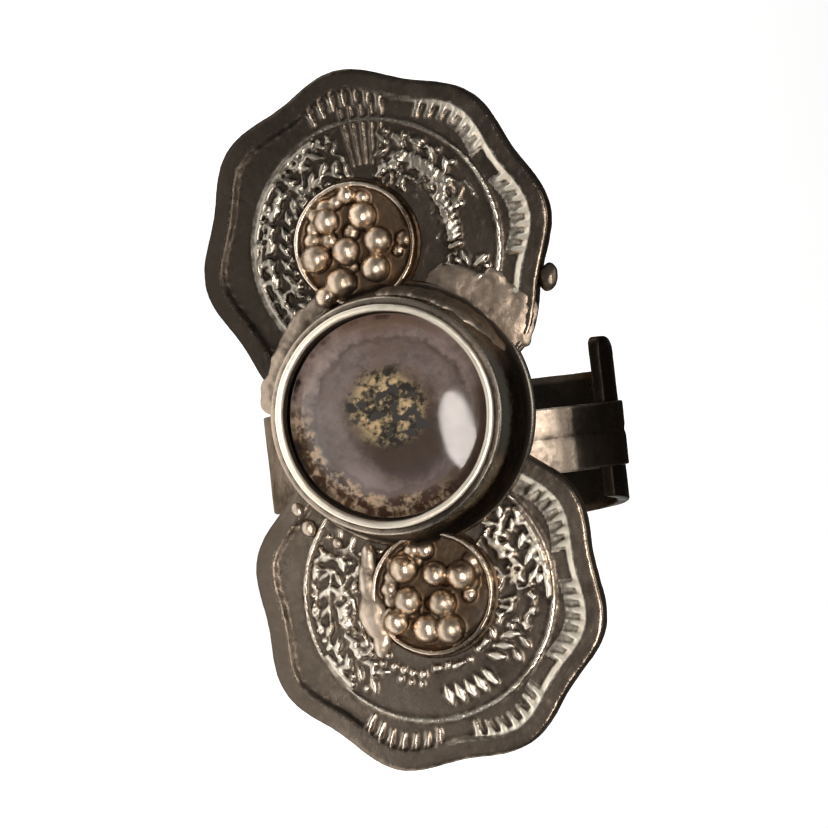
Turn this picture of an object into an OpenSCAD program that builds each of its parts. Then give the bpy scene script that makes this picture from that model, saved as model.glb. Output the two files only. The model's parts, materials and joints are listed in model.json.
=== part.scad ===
// Coin ring: two scalloped coins joined end to end across a sheet band, a tall collet with a
// glass cabochon over their joint, and a cup of granules on each coin.
// The pieces are drawn as worn: X to the right, Y to the fingertip, Z out of the face, with the
// finger's axis on Y. At the end the ring is laid on its left side, as it rests by itself.

/* [Band] */
// Radius of the hole for the finger
bore_r = 10.9; // [9.5:0.1:11.2]
// Thickness of the sheet that runs round the back
sheet_t = 0.8; // [0.6:0.05:1.2]
// Thickness of the strip at the front right, which laps over the sheet's end
strip_t = 1.1; // [1:0.05:1.4]
// Width of that strip
strip_w = 4.2; // [3.5:0.1:5.5]
// Width of the sheet behind the finger
back_w = 9.4; // [8:0.1:10]
// Width of the sheet at the left side
side_w = 6.4; // [5:0.1:7.5]
// Width of the sheet at its lapped end
end_w = 8.2; // [7:0.1:9]
// Height of the ear at the lapped end's upper corner
ear_h = 2.2; // [0.5:0.1:2.5]
// Angle from the face to the sheet's lapped end
end_angle = 79; // [55:1:85]
// Angle from the face to the strip's end
strip_angle = 96; // [86:1:110]

/* [Coins] */
// Width of a coin across its lobes
coin_d = 23; // [21:0.5:25]
// Thickness of a coin at its rim
coin_t = 1.45; // [1.2:0.05:1.8]
// Number of lobes round a coin
lobes = 8; // [6:1:10]
// Depth of the notches between the lobes
notch_depth = 0.68; // [0.3:0.02:0.9]
// Distance between the coins' centres
coin_pitch = 22.2; // [21.8:0.1:22.3]
// Turn of the line through the coins from the finger's axis
head_turn = 2.4; // [0:0.1:4]
// How far the middle between the coins lies right of the finger's axis, and toward the fingertip
head_place = [0.5, 2.45]; // [0:0.05:3]
// Angle of a lobe of the upper coin, counted from the right
upper_turn = 6.6; // [0:0.1:45]
// Angle of a lobe of the lower coin, counted from the right
lower_turn = 28.1; // [0:0.1:45]

/* [Relief] */
// Height of the rim over the field
rim_h = 0.25; // [0.15:0.05:0.4]
// Width of the rim
rim_w = 1.25; // [1:0.05:1.6]
// Height of the dentils, leaves and lines
relief_h = 0.18; // [0.1:0.02:0.3]
// Length and width of a dentil
dentil = [1, 0.38]; // [0.3:0.02:1.6]
// Dentils in one lobe
dentils = 7; // [5:1:8]
// Angle from one dentil to the next
dentil_step = 4.8; // [4:0.1:5.4]
// Radius of the fine line inside the dentils
line_r = 8.1; // [7.4:0.1:8.2]
// Radius of the wreath of leaves
wreath_r = 6.4; // [5.8:0.1:6.5]
// Length and width of a leaf
leaf = [1.6, 0.62]; // [0.4:0.02:1.8]

/* [Granules] */
// Radius of the cup that holds the granules
cup_r = 4; // [2.8:0.1:4.2]
// Height of the cup's wall
cup_h = 0.9; // [0.6:0.1:1.2]
// Radius of a granule
granule_r = 0.8; // [0.5:0.02:0.9]

/* [Collet] */
// Height of the collet over the coins' field
collet_h = 5.7; // [4.5:0.1:7]
// Radius of the flange at its foot
flange_r = 8.45; // [8.4:0.05:9.2]
// Radius of the rim round the stone
rim_r = 7; // [6.9:0.05:7.3]
// Radius of the collar under the rim
collar_r = 7.45; // [7.4:0.05:7.8]
// Thickness of the collet's wall
wall_t = 0.5; // [0.4:0.05:0.6]
// How far the collet's centre lies right of the middle between the coins, and toward the fingertip
collet_off = [0.25, 0.35]; // [0:0.05:1.5]

/* [Stone] */
// Height of the stone's dome over its edge
dome_h = 1.6; // [1:0.1:2.2]
// Height of the stone's straight edge
girdle_h = 1.4; // [1:0.1:1.8]
// Gap round the stone and under it
seat_gap = 0.1; // [0.08:0.01:0.2]

/* [Hidden] */
$fn = 96;
silver = [0.60, 0.57, 0.52];
foil = [0.50, 0.40, 0.26];
glass = [0.70, 0.68, 0.70, 0.5];

sheet_r = bore_r + sheet_t;
strip_r = bore_r + strip_t;
coin_r = coin_d / 2;
// The coins' backs cut a little into the strip, which is how far the solder takes them.
solder = 0.5;
coin_z = strip_r - solder;
field_z = coin_z + coin_t - rim_h;
face_z = coin_z + coin_t;
// How deep a raised mark starts below the surface that it stands on
bite = 0.1;

along_coins = [-sin(head_turn), cos(head_turn)];
upper_at = head_place + coin_pitch / 2 * along_coins;
lower_at = head_place - coin_pitch / 2 * along_coins;
collet_at = head_place + collet_off;
// Middle of each cup of granules from its coin's centre
upper_cup = [-1.15, 0.3, 0];
lower_cup = [0.4, 0, 0];
// Thickness of a cup's wall and of its floor
cup_wall = 0.4;
cup_floor = 0.35;
// Height of a granule's centre, which is sunk a little into the solder on the floor
granule_z = cup_floor + 0.7 * granule_r;
// Places of the granules in each cup, which are uneven: [right, up]
upper_granules = [[-0.55, -0.4], [1.55, 0.05], [0.7, 1.7], [-1.6, 1.6], [-2.6, -0.65], [-1.15, -2.35],
    [1.2, -1.7]];
lower_granules = [[-1.65, 1.7], [0.3, 1.15], [2, 0.9], [-1.6, -0.35], [0.55, -0.7], [-2.5, -1.6],
    [-0.6, -2.2], [0.9, -2.4]];
// The leaves stand in pairs, one pair every so many degrees. A leaf starts this far off the wreath's
// circle and is tilted this much off it.
leaf_step = 13;
leaf_off = 0.12;
leaf_tilt = 38;
// Stretches of the two wreaths that are worn bare or make room for the sheaf: [from, to]
upper_bare = [[-14, 30], [76, 106]];
lower_bare = [[262, 284]];
// The sheaf at the top of the upper coin: its ribs, their spread and their reach along the radius
sheaf_ribs = 5;
sheaf_spread = 4.5;
sheaf_reach = [5.2, 8.9];
sheaf_rib_w = 0.34;
// Width and height of the fine line inside the dentils
line_w = 0.26;
line_h = 0.8 * relief_h;

edge_points = 12 * lobes;
function dir(a) = [cos(a), sin(a)];
function edge_r(a, turn, inset) = coin_r - inset - notch_depth * (1 - cos(lobes * (a - turn))) / 2;
function coin_edge(turn, inset = 0) =
    [for (i = [0 : edge_points - 1]) let (a = 360 * i / edge_points) edge_r(a, turn, inset) * dir(a)];
function clear_of_collet(p) = norm(p - collet_at) > flange_r + dentil[0] / 2;
function in_any(a, spans) = max([for (s = spans) a > s[0] && a < s[1] ? 1 : 0]) == 1;

// The sheet's two edges seen from the side, as distances along the finger
side_low = -2.8;
back_low = -5.2;
end_low = -4;
side_edges = [side_low, side_low + side_w];
back_edges = [back_low, back_low + back_w];
end_edges = [end_low, end_low + end_w];
end_z = sheet_r * cos(end_angle);
// Below this height the sheet keeps the width that it has behind the finger.
back_z = -0.84 * sheet_r;
// The strip runs from here, under the coins, to its end at the right.
strip_start = -3;
strip_end_z = strip_r * cos(strip_angle);
// How far a cutting shape runs past what it cuts
past = 2;
// The ear's top runs straight for this far from its rounded front corner and then falls away.
ear_flat = 1.2;
ear_fall = 3.8;
ear_corner = 0.6;
ear_top = end_edges[1] + ear_h;
ear_front = [for (a = [0 : 15 : 90])
    [ear_top - ear_corner * (1 - sin(a)), end_z - ear_corner * (1 - cos(a))]];
ear_back = [for (a = [0 : 10 : 90]) [end_edges[1] + ear_h * cos(a), end_z - ear_flat - ear_fall * sin(a)]];

// The collet's outline, from its foot up, with heights over the coins' field. The foot is sunk into
// the coins, and the collar stands a little out of the wall below it.
foot_z = -0.4;
flange_h = 0.35;
fillet_r = 8.1;
fillet_h = 0.8;
collar_z = collet_h - 1;
collar_h = 0.4;
collar_slope = 0.1;
rim_foot_z = collar_z + collar_h + collar_slope;
neck_r = collar_r - 0.15;
floor_h = 0.5;
rim_in_r = rim_r - wall_t;
foot_in_r = fillet_r - wall_t;
function inner_r(z) = foot_in_r + (rim_in_r - foot_in_r) * (z - floor_h) / (collar_z - floor_h);

stone_r = rim_in_r - seat_gap;
// The top of the stone's straight edge lies this far below the rim.
rim_over_girdle = 1.3;
girdle_z = collet_h - rim_over_girdle;
stone_z = girdle_z - girdle_h;
backing_z = floor_h + seat_gap;
backing_top = stone_z - seat_gap;
dome_r = (stone_r * stone_r + dome_h * dome_h) / (2 * dome_h);
dome_top = field_z + girdle_z + dome_h;

// The resting place. The ring is rolled until both coins reach equally far to the left, and then
// turned about the finger until the coins' faces and the band's lower left edge are level.
function placed(edge, at) = [for (p = edge) p + at];
upper_edge = placed(coin_edge(upper_turn), upper_at);
lower_edge = placed(coin_edge(lower_turn), lower_at);
function rolled(p, roll) = [p[0] * cos(roll) + p[1] * sin(roll), p[1] * cos(roll) - p[0] * sin(roll)];
function left_reach(edge, roll) = max([for (p = edge) -rolled(p, roll)[0]]);
function level_roll(roll, tries) = tries == 0 ? roll : level_roll(
    roll + asin((left_reach(upper_edge, roll) - left_reach(lower_edge, roll)) / coin_pitch), tries - 1);
rest_roll = level_roll(0, 6);
coin_reach = left_reach(upper_edge, rest_roll);
band_reach = sheet_r * cos(rest_roll) - side_edges[0] * sin(rest_roll);
rest_turn = atan2(face_z, coin_reach) - acos(band_reach / norm([face_z, coin_reach]));
top_reach = max([for (p = upper_edge) rolled(p, rest_roll)[1]]);
bottom_reach = min([for (p = lower_edge) rolled(p, rest_roll)[1]]);
stone_right = rolled(collet_at, rest_roll)[0];
front_reach = stone_right * sin(rest_turn) + (dome_top - dome_r) * cos(rest_turn) + dome_r;
rest_at = [(top_reach + bottom_reach) / 2, (front_reach - sheet_r) / 2, band_reach];

module at_rest()
    translate(rest_at) rotate([0, -90, 0]) rotate([90, 0, 0])
    rotate([0, -rest_turn, 0]) rotate([0, 0, -rest_roll]) children();

// A prism along X of an outline drawn as [along the finger, out of the face]
module side_prism(from, to) translate([from, 0, 0]) rotate([90, 0, 90]) linear_extrude(to - from) children();

module shell(r_out) {
    width = 2 * back_w;
    rotate([90, 0, 0]) difference() {
        cylinder(r = r_out, h = width, center = true);
        cylinder(r = bore_r, h = width + past, center = true);
    }
}

module sheet() {
    reach = sheet_r + past;
    intersection() {
        shell(sheet_r);
        union() {
            side_prism(-reach, 0) polygon([
                [side_edges[0], reach], [side_edges[0], 0], [back_edges[0], back_z], [back_edges[0], -reach],
                [back_edges[1], -reach], [back_edges[1], back_z], [side_edges[1], 0], [side_edges[1], reach]]);
            side_prism(0, reach) polygon(concat(
                [[end_edges[0], end_z], [back_edges[0], back_z], [back_edges[0], -reach],
                [back_edges[1], -reach], [back_edges[1], back_z]],
                [for (i = [len(ear_back) - 1 : -1 : 0]) ear_back[i]],
                [for (i = [len(ear_front) - 1 : -1 : 0]) ear_front[i]]));
        }
    }
}

module strip() {
    reach = strip_r + past;
    intersection() {
        shell(strip_r);
        side_prism(strip_start, reach) translate([-strip_w / 2, strip_end_z]) square([strip_w, reach]);
    }
}

module coin_blank(turn) {
    linear_extrude(coin_t - rim_h) polygon(coin_edge(turn));
    translate([0, 0, coin_t - rim_h - bite]) linear_extrude(rim_h + bite) difference() {
        polygon(coin_edge(turn));
        polygon(coin_edge(turn, rim_w));
    }
}

// A raised mark on the coins' field
module raised(h) translate([0, 0, coin_t - rim_h - bite]) linear_extrude(h + bite) children();

module dentils_of(at, turn) {
    for (k = [0 : lobes - 1], j = [0 : dentils - 1]) {
        a = turn + 360 * k / lobes + (j - (dentils - 1) / 2) * dentil_step;
        r = edge_r(a, turn, rim_w);
        if (clear_of_collet(at + (r - dentil[0] / 2) * dir(a)))
            raised(relief_h) rotate(a) translate([r - dentil[0], -dentil[1] / 2])
                square([dentil[0] + bite, dentil[1]]);
    }
}

module leaf_shape(a, r, tilt)
    rotate(a) translate([r, 0]) rotate(90 + tilt)
    polygon([[0, 0], [leaf[0] / 2, leaf[1] / 2], [leaf[0], 0], [leaf[0] / 2, -leaf[1] / 2]]);

module wreath(at, bare) {
    for (a = [0 : leaf_step : 359], side = [-1, 1])
        if (!in_any(a, bare) && !in_any(a - 360, bare) && clear_of_collet(at + wreath_r * dir(a)))
            raised(relief_h) leaf_shape(a, wreath_r + side * leaf_off, -side * leaf_tilt);
}

module sheaf() {
    length = sheaf_reach[1] - sheaf_reach[0];
    for (i = [0 : sheaf_ribs - 1])
        raised(relief_h) rotate(90 + (i - (sheaf_ribs - 1) / 2) * sheaf_spread)
            translate([sheaf_reach[0], -sheaf_rib_w / 2]) square([length, sheaf_rib_w]);
}

module fine_line() raised(line_h) difference() {
    circle(line_r + line_w / 2);
    circle(line_r - line_w / 2);
}

// A cup stops inside the collet's wall where the collet stands over its edge.
cup_end_r = 7.8;
module cut_at_collet() difference() {
    children();
    translate([collet_at[0], collet_at[1], field_z - past]) cylinder(r = cup_end_r, h = 3 * past);
}

module granule_cup(granules)
    translate([0, 0, coin_t - rim_h - bite]) {
        difference() {
            cylinder(r = cup_r, h = cup_h + bite);
            translate([0, 0, cup_floor]) cylinder(r = cup_r - cup_wall, h = cup_h);
        }
        for (p = granules)
            translate([p[0], p[1], granule_z]) sphere(granule_r);
    }

module upper_coin() {
    translate([upper_at[0], upper_at[1], coin_z]) {
        coin_blank(upper_turn);
        dentils_of(upper_at, upper_turn);
        wreath(upper_at, upper_bare);
        fine_line();
        sheaf();
    }
    cut_at_collet() translate([upper_at[0], upper_at[1], coin_z] + upper_cup) granule_cup(upper_granules);
}

module lower_coin() {
    translate([lower_at[0], lower_at[1], coin_z]) {
        coin_blank(lower_turn);
        dentils_of(lower_at, lower_turn);
        wreath(lower_at, lower_bare);
        fine_line();
    }
    cut_at_collet() translate([lower_at[0], lower_at[1], coin_z] + lower_cup) granule_cup(lower_granules);
}

module on_collet_axis() translate([collet_at[0], collet_at[1], field_z]) children();

module collet()
    on_collet_axis() rotate_extrude() polygon([
        [0, foot_z], [flange_r, foot_z], [flange_r, flange_h], [fillet_r, fillet_h],
        [neck_r, collar_z], [collar_r, collar_z + collar_slope], [collar_r, collar_z + collar_h],
        [rim_r, rim_foot_z], [rim_r, collet_h], [rim_in_r, collet_h], [rim_in_r, collar_z],
        [foot_in_r, floor_h], [0, floor_h]]);

module ring_metal() color(silver) {
    sheet();
    strip();
    upper_coin();
    lower_coin();
    collet();
}

module backing() color(foil)
    on_collet_axis() rotate_extrude() polygon([
        [0, backing_z], [inner_r(backing_z) - seat_gap, backing_z],
        [inner_r(backing_top) - seat_gap, backing_top], [0, backing_top]]);

module stone() color(glass)
    on_collet_axis() intersection() {
        translate([0, 0, stone_z]) cylinder(r = stone_r, h = girdle_h + dome_h + past);
        translate([0, 0, girdle_z + dome_h - dome_r]) sphere(dome_r, $fn = 256);
    }

at_rest() ring_metal();
at_rest() backing();
at_rest() stone();
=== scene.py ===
"""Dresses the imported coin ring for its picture, and can be read as an add-on.

Every piece is modelled in millimetres as the ring is worn: X to the right, Y to the fingertip, Z out of
the face, with the finger's axis on Y. A finished piece is then laid in the row's place, in metres.
"""

import json
import math
import random
from contextlib import contextmanager

import bmesh
import bpy
import numpy as np
from mathutils import Matrix, Vector, noise


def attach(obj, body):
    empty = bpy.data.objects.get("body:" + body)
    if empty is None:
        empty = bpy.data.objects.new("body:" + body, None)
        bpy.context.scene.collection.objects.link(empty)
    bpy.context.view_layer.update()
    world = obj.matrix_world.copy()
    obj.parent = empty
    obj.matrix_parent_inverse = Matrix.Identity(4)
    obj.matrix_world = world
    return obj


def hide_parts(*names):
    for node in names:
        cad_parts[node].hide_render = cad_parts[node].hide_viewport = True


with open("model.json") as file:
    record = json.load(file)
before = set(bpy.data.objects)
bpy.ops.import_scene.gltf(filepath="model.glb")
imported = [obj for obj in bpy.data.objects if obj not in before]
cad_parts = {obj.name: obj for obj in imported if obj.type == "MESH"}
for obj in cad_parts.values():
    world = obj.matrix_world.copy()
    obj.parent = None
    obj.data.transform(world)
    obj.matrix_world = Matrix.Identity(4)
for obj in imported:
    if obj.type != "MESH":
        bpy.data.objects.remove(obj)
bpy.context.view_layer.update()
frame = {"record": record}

bl_info = {
    "name": "Coin Ring",
    "version": (1, 0, 0),
    "blender": (4, 5, 0),
    "location": "3D View > Sidebar > Coin Ring",
    "description": "A finger ring of scalloped coins, a collet with a cabochon and cups of granules",
    "category": "Add Mesh",
}

MM = 0.001
BORE = next(m for m in frame["record"]["mounts"] if m["name"] == "finger_bore")

# The band, in millimetres. Edges are distances along the finger, low first.
SIDE_EDGES = (-2.8, 3.6)
BACK_EDGES = (-5.2, 4.2)
END_EDGES = (-4.0, 4.2)
EAR_HEIGHT = 2.2
EAR_CORNER = 0.6
EAR_FLAT = 1.2
EAR_FALL = 3.8
LAP_ANGLE = 79
STRIP_ANGLES = (10, -96)
STRIP_OUTER = 11.98
BACK_SHARE = 0.84
BAR_RADIUS = 11.0

# What both coins have, with the height of their backs
COIN_Z = 11.5
LOBES = 8
RIM_WIDTH = 1.25
RIM_HEIGHT = 0.25
BACK_FIELD = 0.2
DENT_ROOM = 0.035
DENTILS = 7
DENTIL_STEP = 4.8
DENTIL = (1.3, 0.42, 0.52)
LINE_RADIUS = 8.1
WREATH_RADIUS = 6.4
LEAF = (1.2, 0.5)
LEAF_STEP = 9.5
LEAF_TILT = 38
STROKE = (0.85, 0.26, 0.46)
STUB = (0.6, 0.3, 0.46)
VEIN_PATCH = 0.55
VEIN_HEIGHT = 0.15

# Each coin's centre and the turn of its lobes. Spans are angles: where the wreath leaves the field bare
# and where the dentils are worn. Veins have a pitch, and stretches of two angles and two radii. A row is
# a mark, its size, a radius, a step, a tilt off the radius and spans, and a scatter a radius, a step and
# spans.
UPPER_COIN = {
    "at": (0.035, 13.540),
    "turn": 6.6,
    "bare": ((-14, 30), (76, 106)),
    "worn": ((118, 226),),
    "veins": (1.5, ((18, 78, 4.0, 7.3), (104, 206, 4.0, 7.8), (-25, 18, 4.0, 5.3))),
    "rows": (
        ("rib", 1.0, 7.2, 4.5, 0, ((80, 100),)),
        ("stroke", STROKE, 7.75, 3.2, 90, ((118, 226),)),
        ("stroke", (1.7, 0.3, 0.5), 6.9, 17, 90, ((150, 212),)),
        ("stroke", (1.0, 0.28, 0.5), 6.0, 4.2, 30, ((30, 62),)),
        ("stroke", (0.9, 0.26, 0.46), 5.2, 4.6, 24, ((-10, 34),)),
        ("stroke", (2.6, 0.36, 0.5), 5.3, 18, -38, ((62, 80),)),
        ("dot", 0.8, 7.6, 4.5, 0, ((104, 140),)),
    ),
    "scatter": (
        (5.0, 8, ((10, 80), (98, 172))),
        (7.2, 6, ((50, 78), (102, 200))),
        (5.7, 8, ((98, 150),)),
    ),
    "seed": 3,
}
LOWER_COIN = {
    "at": (0.965, -8.640),
    "turn": 28.1,
    "bare": ((228, 352),),
    "worn": ((130, 236),),
    "veins": (1.05, ((95, 219, 4.0, 7.8), (336, 360, 4.0, 7.0), (-5, 40, 4.0, 7.8))),
    "rows": (
        ("leaf", 1.2, 6.6, 6.4, 12, ((-90, -54),)),
        ("leaf", 1.1, 5.9, 8.0, 34, ((-50, -24),)),
        ("leaf", 0.9, 6.9, 8.0, -20, ((-46, -26),)),
        ("stroke", STROKE, 7.75, 3.2, 90, ((-8, 36), (205, 224))),
        ("dot", 0.95, 7.5, 4.5, 0, ((150, 204),)),
        ("dot", 1.1, 5.2, 7, 0, ((236, 262),)),
        ("dot", 0.9, 5.8, 7, 0, ((240, 260),)),
    ),
    "scatter": (
        (4.9, 9, ((98, 230), (268, 345))),
        (7.3, 8, ((95, 150), (200, 218), (0, 50))),
        (5.5, 9, ((310, 352),)),
        (6.7, 8, ((-24, 6),)),
        (6.1, 9, ((150, 228),)),
    ),
    "seed": 5,
}

# The cups and their granules, from each coin's centre. The stray one has its height too.
CUP_RADIUS = 4.0
CUP_WALL = 0.4
CUP_HEIGHT = 0.9
CUP_END = 7.8
GRANULE = 0.92
UPPER_CUP = (-1.15, 0.3)
LOWER_CUP = (0.4, 0.0)
UPPER_GRANULES = (
    (-0.55, -0.4), (1.55, 0.05), (0.7, 1.7), (-1.6, 1.6), (-2.6, -0.65), (-1.15, -2.35), (1.2, -1.7),
)
LOWER_GRANULES = (
    (-1.65, 1.7), (0.3, 1.15), (2.0, 0.9), (-1.6, -0.35), (0.55, -0.7), (-2.5, -1.6), (-0.6, -2.2),
    (0.9, -2.4),
)
STRAY_GRANULE = (-2.2, -3.15, 0.8)

# Runs of solder: place, half length, half width, half height and turn. The runs round the collet have
# their first angle, last angle, step and radius, and the spatter its place and size.
HEAD_SOLDER = (
    (7.0, 8.3, 12.7, 3.0, 2.5, 0.42, -42),
    (8.5, 8.5, 12.68, 1.6, 1.6, 0.36, -70),
    (5.2, 10.2, 12.7, 2.4, 1.5, 0.36, -25),
    (8.75, 7.2, 12.66, 0.7, 1.2, 0.34, 14),
    (9.2, 9.3, 12.68, 0.6, 0.9, 0.34, 24),
    (7.6, 10.6, 12.68, 0.9, 0.6, 0.3, -50),
    (1.5, 0.2, 11.7, 5.2, 3.4, 0.5, 0),
)
EDGE_RUNS = (108, 172, 4, 8.75)
WALL_RUNS = (16, 90, 3, 7.45)
SPATTER = ((-6.9, -2.5, 13.0, 0.42), (-6.35, -3.75, 12.85, 0.48), (-4.6, -4.9, 12.85, 0.34))
EDGE_BEAD = ((10.87, 10.35, 12.2, 0.6, 0.95, 0.45, -16),)
PLATE = (
    (-2.65, -9.7, 13.15, 0.95, 1.5, 0.6, 6),
    (-2.8, -7.9, 13.1, 0.6, 1.7, 0.5, 4),
    (-2.6, -6.2, 13.1, 0.5, 1.1, 0.45, 0),
    (-2.3, -11.3, 13.0, 0.6, 1.2, 0.45, -14),
    (-1.6, -9.9, 13.5, 0.4, 0.6, 0.3, -14),
)

# The collet, with heights over the coins' field
COLLET_AT = (0.75, 2.8)
FIELD_Z = 12.7
COLLET_SPOT = (*COLLET_AT, FIELD_Z)
FLANGE_RADIUS = 8.45
STONE_RADIUS = 6.4
GIRDLE_Z = 4.4
STONE_FOOT = 3.0
FOIL_RADIUS = 6.78
FOIL_Z = STONE_FOOT - 0.32
FOIL_DISH = 0.16

# The foil's gold heart lies off its middle, and the painted shade round it lower still.
HEART_SPOT = (COLLET_AT[0] - 0.24, COLLET_AT[1] + 0.53, FIELD_Z)
PAINTED_SHADE_SPOT = (COLLET_AT[0] + 0.7, COLLET_AT[1] - 1.5, FIELD_Z)

# Tarnish keeps the metal dull even where it is seen at a slant.
EDGE_TINT = (0.35, 0.33, 0.3, 1.0)

# How the ring stands in the picture
VIEW_TURN = 14.0
VIEW_LEAN = 6.5
VIEW_DISTANCE = 322.0
VIEW_LENS = 221.0
VIEW_SHIFT = (0.76, 0.35)


def direction(angle):
    """The unit vector in the coins' plane at an angle in degrees."""
    return Vector((math.cos(math.radians(angle)), math.sin(math.radians(angle)), 0))


def polar(spot):
    """The distance from the Z axis and the angle in degrees, from 0 to 360."""
    return math.hypot(spot.x, spot.y), math.degrees(math.atan2(spot.y, spot.x)) % 360


def smooth_step(value, low, high):
    """From 0 below low to 1 above high, with soft ends."""
    share = min(1.0, max(0.0, (value - low) / (high - low)))
    return share * share * (3 - 2 * share)


def toned(colour, factor):
    """A colour made lighter or darker, by one factor or by one for each channel."""
    factors = factor if isinstance(factor, tuple) else (factor,) * 3
    return tuple(min(1.0, x * k) for x, k in zip(colour, factors))


def measure(name):
    """One of the scene's sizes, in millimetres."""
    return getattr(bpy.context.scene.coin_ring_sizes, name) / MM


def laid_down():
    """The matrix from millimetres as worn to metres in the row's frame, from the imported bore."""
    ax, ay, az = BORE["axis"]
    roll = math.acos(ax)
    turn = math.atan2(ay, -az)
    sr, cr, st, ct = math.sin(roll), math.cos(roll), math.sin(turn), math.cos(turn)
    right = Vector((sr, -cr * st, cr * ct))
    up = Vector((-cr, -sr * st, sr * ct))
    out = Vector((0, -ct, -st))
    turned = Matrix((right, up, out)).transposed().to_4x4()
    return Matrix.Translation(BORE["pos_m"]) @ turned @ Matrix.Scale(MM, 4)


LAID = laid_down()


def select_only(piece):
    """Leaves one object selected and active, in object mode."""
    if bpy.context.mode != "OBJECT":
        bpy.ops.object.mode_set(mode="OBJECT")
    bpy.ops.object.select_all(action="DESELECT")
    piece.select_set(True)
    bpy.context.view_layer.objects.active = piece


def new(kind, **settings):
    """Adds a mesh primitive with nothing else selected, and puts its place into its mesh."""
    if bpy.context.mode != "OBJECT":
        bpy.ops.object.mode_set(mode="OBJECT")
    bpy.ops.object.select_all(action="DESELECT")
    getattr(bpy.ops.mesh, f"primitive_{kind}_add")(**settings)
    piece = bpy.context.object
    bpy.ops.object.transform_apply(location=True, rotation=True, scale=True)
    return piece


@contextmanager
def editing(piece, kind="VERT"):
    """Edit mode on one piece, with everything in it selected."""
    select_only(piece)
    bpy.ops.object.mode_set(mode="EDIT")
    bpy.ops.mesh.select_mode(type=kind)
    bpy.ops.mesh.select_all(action="SELECT")
    yield
    bpy.ops.object.mode_set(mode="OBJECT")


def pick(piece, kind, wanted):
    """Selects only those verts, edges or faces of the piece in edit mode that pass a test."""
    bpy.ops.mesh.select_all(action="DESELECT")
    mesh = bmesh.from_edit_mesh(piece.data)
    for element in getattr(mesh, kind):
        if wanted(element):
            element.select_set(True)
    mesh.select_flush_mode()
    bmesh.update_edit_mesh(piece.data)


def grow(value, centre):
    """Resizes what is selected about a centre."""
    bpy.ops.transform.resize(value=value, center_override=centre)


def reshape(piece, rule):
    """Moves each vertex to where a rule puts it."""
    for vertex in piece.data.vertices:
        vertex.co = rule(vertex.co.copy())
    piece.data.update()


def shift(piece, x, y, z):
    """Moves a piece's mesh."""
    reshape(piece, lambda co: co + Vector((x, y, z)))


def face_outwards():
    """Turns all the faces of the piece in edit mode outwards."""
    bpy.ops.mesh.select_all(action="SELECT")
    bpy.ops.mesh.normals_make_consistent(inside=False)


def raise_up(height):
    """Extrudes the selected faces along Z."""
    bpy.ops.mesh.extrude_region_move(TRANSFORM_OT_translate={"value": (0, 0, height)})


def modify(piece, kind, **settings):
    """Adds a modifier and applies it."""
    select_only(piece)
    bpy.ops.object.modifier_add(type=kind)
    modifier = piece.modifiers[-1]
    for name, value in settings.items():
        setattr(modifier, name, value)
    bpy.ops.object.modifier_apply(modifier=modifier.name)


def soften_edges(piece, width, segments, sharper_than):
    """Rounds the edges that turn by more than an angle."""
    modify(
        piece, "BEVEL", width=width, segments=segments, limit_method="ANGLE",
        angle_limit=math.radians(sharper_than),
    )


def copy_of(piece, place):
    """A copy of a piece with its own mesh, at a place given as a matrix."""
    twin = piece.copy()
    twin.data = piece.data.copy()
    bpy.context.scene.collection.objects.link(twin)
    twin.matrix_world = place
    return twin


def join(pieces):
    """One object out of several."""
    select_only(pieces[0])
    for piece in pieces:
        piece.select_set(True)
    bpy.ops.object.join()
    bpy.ops.object.transform_apply(location=True, rotation=True, scale=True)
    return pieces[0]


def discard(piece):
    bpy.data.objects.remove(piece)


def place(x, y, z, turn=0.0, tilt=0.0, scale=1.0):
    """The matrix that turns a mark about Z, tilts it about X and sets it down."""
    turned = Matrix.Rotation(math.radians(turn), 4, "Z") @ Matrix.Rotation(math.radians(tilt), 4, "X")
    return Matrix.Translation((x, y, z)) @ turned @ Matrix.Scale(scale, 4)


def fuse(piece, voxel, softening=2, keep=1.0):
    """Melts overlapping bodies into one skin, softens it and thins out its flat parts."""
    modify(piece, "REMESH", mode="VOXEL", voxel_size=voxel, use_smooth_shade=True)
    modify(piece, "SMOOTH", factor=0.5, iterations=softening)
    if keep < 1:
        modify(piece, "DECIMATE", ratio=keep)


def dent(piece, size, strength):
    """Makes a surface uneven with a procedural texture whose bumps are so many millimetres wide."""
    texture = bpy.data.textures.new(f"{piece.name} dents", "CLOUDS")
    texture.noise_scale = size
    modify(
        piece, "DISPLACE", texture=texture, texture_coords="LOCAL", strength=strength, mid_level=0.5
    )


def note_hollows(piece, rounds):
    """Stores how far each vertex lies below a smoothed copy of the surface, in millimetres."""
    mesh = piece.data
    count = len(mesh.vertices)
    places = np.zeros(count * 3)
    mesh.vertices.foreach_get("co", places)
    places = places.reshape(-1, 3)
    normals = np.zeros(count * 3)
    mesh.vertices.foreach_get("normal", normals)
    ends = np.zeros(len(mesh.edges) * 2, int)
    mesh.edges.foreach_get("vertices", ends)
    one, two = ends.reshape(-1, 2).T
    links = np.bincount(one, minlength=count) + np.bincount(two, minlength=count)
    smooth = places.copy()
    for _ in range(rounds):
        for axis in range(3):
            total = np.bincount(one, smooth[two, axis], count) + np.bincount(two, smooth[one, axis], count)
            smooth[:, axis] = 0.5 * smooth[:, axis] + 0.5 * total / np.maximum(links, 1)
    depth = np.einsum("ij,ij->i", smooth - places, normals.reshape(-1, 3))
    layer = mesh.attributes.new("hollow", "FLOAT", "POINT")
    layer.data.foreach_set("value", depth.astype(np.float32))


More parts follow.
